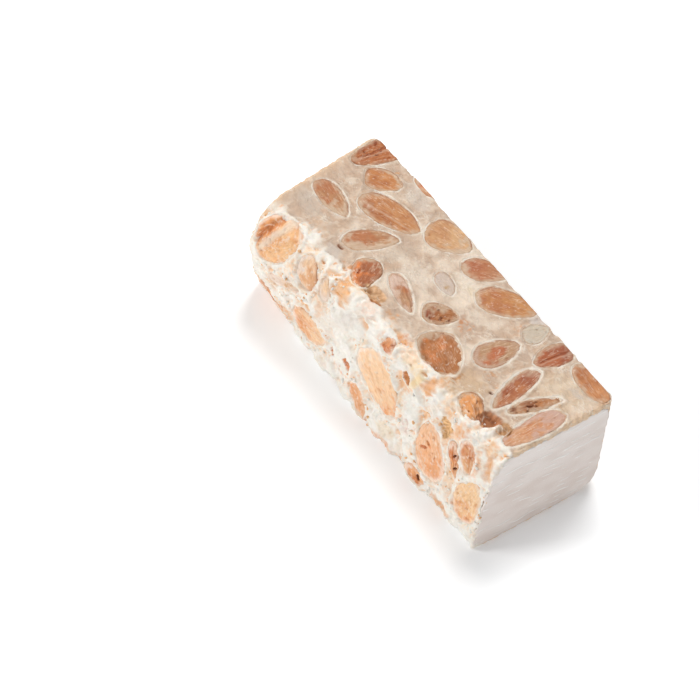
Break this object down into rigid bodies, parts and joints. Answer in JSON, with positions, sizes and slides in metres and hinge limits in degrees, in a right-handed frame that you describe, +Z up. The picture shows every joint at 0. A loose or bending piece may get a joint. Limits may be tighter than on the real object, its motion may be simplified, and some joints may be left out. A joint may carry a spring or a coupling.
{
  "type": "nougat bar",
  "caption": "Cut bar of white nougat set through with roasted almonds, with a wafer sheet on each end.",
  "frame": {"origin": "on the table, under the middle of the bar's bounding box", "axes": "+X along the bar towards the wafer end shown, +Y towards the clean-cut long side, -Y the torn long side, +Z up"},
  "size_m": [0.1106, 0.0448, 0.0373],
  "materials": {
    "nougat": "whipped honey nougat, cut smooth or torn",
    "almond": "roasted almond, cut through",
    "wafer": "thin dry wafer sheet"
  },
  "bodies": {
    "root": {"almond_back_01": "almond", "almond_back_02": "almond", "almond_back_03": "almond", "almond_back_04": "almond", "almond_back_05": "almond", "almond_back_06": "almond", "almond_back_07": "almond", "almond_back_08": "almond", "almond_back_09": "almond", "almond_back_10": "almond", "almond_back_11": "almond", "almond_back_12": "almond", "almond_bottom_01": "almond", "almond_bottom_02": "almond", "almond_bottom_03": "almond", "almond_bottom_04": "almond", "almond_bottom_05": "almond", "almond_bottom_06": "almond", "almond_bottom_07": "almond", "almond_bottom_08": "almond", "almond_front_01": "almond", "almond_front_02": "almond", "almond_front_03": "almond", "almond_front_04": "almond", "almond_front_05": "almond", "almond_front_06": "almond", "almond_front_07": "almond", "almond_front_08": "almond", "almond_front_09": "almond", "almond_front_10": "almond", "almond_front_11": "almond", "almond_front_12": "almond", "almond_front_13": "almond", "almond_front_14": "almond", "almond_top_01": "almond", "almond_top_02": "almond", "almond_top_03": "almond", "almond_top_04": "almond", "almond_top_05": "almond", "almond_top_06": "almond", "almond_top_07": "almond", "almond_top_08": "almond", "almond_top_09": "almond", "almond_top_10": "almond", "almond_top_11": "almond", "almond_top_12": "almond", "almond_top_13": "almond", "almond_top_14": "almond", "almond_top_15": "almond", "almond_top_16": "almond", "almond_top_17": "almond", "almond_top_18": "almond", "almond_top_19": "almond", "almond_top_20": "almond", "almond_top_21": "almond", "nougat": "nougat", "wafer_far": "wafer", "wafer_near": "wafer"}
  },
  "joints": []
}
